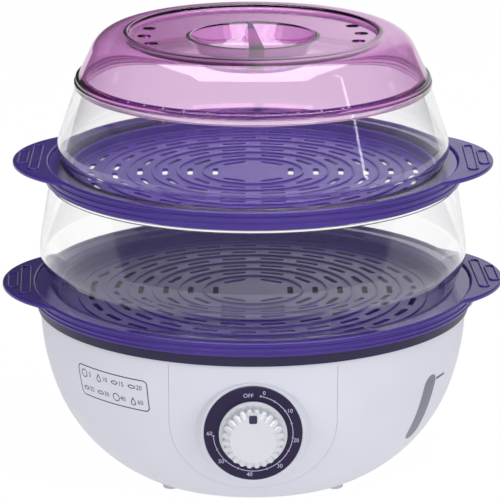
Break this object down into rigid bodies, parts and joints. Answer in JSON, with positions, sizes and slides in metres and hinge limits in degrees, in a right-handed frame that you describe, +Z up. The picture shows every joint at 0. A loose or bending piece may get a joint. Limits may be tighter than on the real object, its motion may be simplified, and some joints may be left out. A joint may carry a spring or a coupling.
{
  "type": "electric food steamer",
  "caption": "Electric food steamer: bowl-shaped base with a fluted timer knob, stacked clear food rings on eared trays, and a tinted lid with a sunk grip.",
  "frame": {"origin": "on the vertical axis of the rings and the base, at the plane the feet stand on", "axes": "+Z up, the timer dial faces -Y, +X is the side with the filler spout"},
  "size_m": [0.3208, 0.2948, 0.2864],
  "materials": {
    "white_plastic": "satin moulded polypropylene",
    "knob_plastic": "gloss",
    "dial_print": "satin printed plate",
    "pointer_plastic": "gloss",
    "dark_purple": "satin",
    "purple_plastic": "satin",
    "clear_plastic": "clear moulded, gloss",
    "lid_plastic": "tinted translucent, gloss",
    "frosted_grey": "translucent, satin",
    "steel": "stainless, satin",
    "screw_steel": "zinc plated",
    "cast_aluminium": "as cast",
    "timer_case": "moulded",
    "terminal_brass": "plain",
    "silicone": "matt",
    "foot_rubber": "matt",
    "steam_plastic": "satin",
    "gland_plastic": "satin",
    "block_plastic": "satin",
    "fuse_metal": "plain",
    "wire_brown": "matt",
    "wire_red": "matt",
    "wire_blue": "matt",
    "wire_green": "matt"
  },
  "bodies": {
    "base": {"base_shell": "white_plastic", "control_panel": "white_plastic", "dial_ring": "dial_print", "timer_body": "timer_case", "timer_screws": "screw_steel", "timer_bell": "steel", "timer_terminals": "terminal_brass", "water_basin": "white_plastic", "level_window": "frosted_grey", "sight_hose": "silicone", "filler_spout": "frosted_grey", "bottom_cover": "white_plastic", "cover_screws": "screw_steel", "feet": "foot_rubber", "heater_plate": "steel", "heater_gasket": "silicone", "heater_casting": "cast_aluminium", "heater_terminals": "terminal_brass", "heater_clamp": "steel", "clamp_screws": "screw_steel", "thermostat": "cast_aluminium", "thermal_fuse": "fuse_metal", "cord_gland": "gland_plastic", "gland_nut": "gland_plastic", "terminal_block": "block_plastic", "wire_live": "wire_brown", "wire_switched": "wire_brown", "wire_fuse": "wire_red", "wire_heater": "wire_red", "wire_neutral": "wire_blue", "wire_earth": "wire_green"},
    "knob": {"timer_knob": "knob_plastic", "knob_pointer": "pointer_plastic", "timer_shaft": "steel"},
    "steam_ring": {"steam_ring": "steam_plastic"},
    "drip_tray": {"drip_tray": "dark_purple"},
    "lower_tray": {"lower_tray": "purple_plastic"},
    "lower_ring": {"lower_ring": "clear_plastic"},
    "upper_tray": {"upper_tray": "purple_plastic"},
    "upper_ring": {"upper_ring": "clear_plastic"},
    "lid": {"lid": "lid_plastic"}
  },
  "joints": [
    {"name": "timer_turn", "type": "hinge", "parent": "base", "child": "knob", "pos_m": [0, -0.137, 0.066], "axis": [0, 1, 0], "range_deg": [0, 268]},
    {"name": "steam_ring_lift", "type": "slide", "parent": "base", "child": "steam_ring", "axis": [0, 0, 1], "range_m": [0, 0.03]},
    {"name": "drip_tray_lift", "type": "slide", "parent": "base", "child": "drip_tray", "axis": [0, 0, 1], "range_m": [0, 0.04]},
    {"name": "lower_tray_lift", "type": "slide", "parent": "drip_tray", "child": "lower_tray", "axis": [0, 0, 1], "range_m": [0, 0.06]},
    {"name": "lower_ring_lift", "type": "slide", "parent": "lower_tray", "child": "lower_ring", "axis": [0, 0, 1], "range_m": [0, 0.06]},
    {"name": "upper_tray_lift", "type": "slide", "parent": "lower_ring", "child": "upper_tray", "axis": [0, 0, 1], "range_m": [0, 0.06]},
    {"name": "upper_ring_lift", "type": "slide", "parent": "upper_tray", "child": "upper_ring", "axis": [0, 0, 1], "range_m": [0, 0.06]},
    {"name": "lid_lift", "type": "slide", "parent": "upper_ring", "child": "lid", "axis": [0, 0, 1], "range_m": [0, 0.06]}
  ]
}
